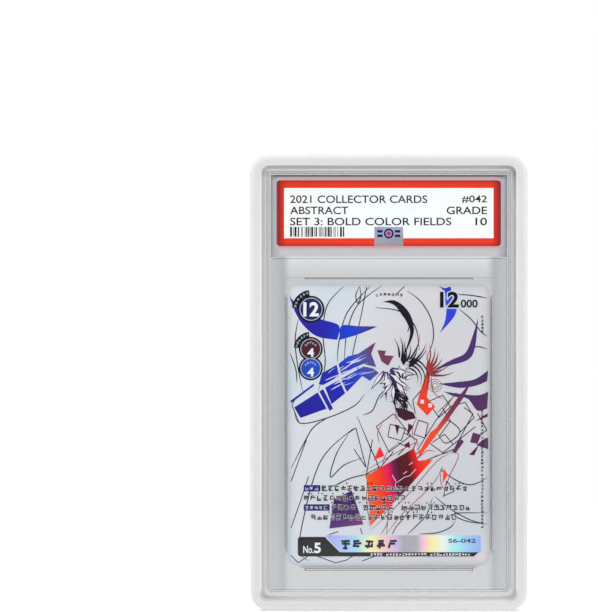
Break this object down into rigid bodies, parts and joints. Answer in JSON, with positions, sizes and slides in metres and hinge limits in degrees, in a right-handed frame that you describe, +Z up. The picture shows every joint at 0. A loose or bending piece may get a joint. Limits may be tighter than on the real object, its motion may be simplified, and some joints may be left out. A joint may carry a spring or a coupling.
{
  "type": "graded card slab",
  "caption": "Clear sealed two-part card holder with a label window and a card inside, held in a white elastic bumper frame.",
  "frame": {"origin": "middle of the bumper guard's bottom edge, on the surface that it stands on", "axes": "+Z up along the card's height, +X to the right seen from the front, the front with the label's grade faces -Y"},
  "size_m": [0.0866, 0.0088, 0.1425],
  "materials": {
    "guard_elastomer": "satin, slightly translucent white",
    "clear_shell": "clear, polished",
    "card_stock": "satin coated print",
    "rainbow_foil": "holographic hot-stamped foil",
    "label_red": "coated paper",
    "label_purple": "coated paper",
    "silver_foil": "brushed holographic foil"
  },
  "bodies": {
    "guard": {"bumper_guard": "guard_elastomer"},
    "slab": {"front_shell": "clear_shell", "rear_shell": "clear_shell", "trading_card": "card_stock", "card_foil_strip": "rainbow_foil", "front_label": "label_red", "rear_label": "label_purple", "front_foil_seal": "silver_foil", "rear_hologram_seal": "silver_foil"}
  },
  "joints": [
    {"name": "slab_out", "type": "slide", "parent": "guard", "child": "slab", "axis": [0, -1, 0], "range_m": [0, 0.03], "deforming": ["bumper_guard"]}
  ]
}
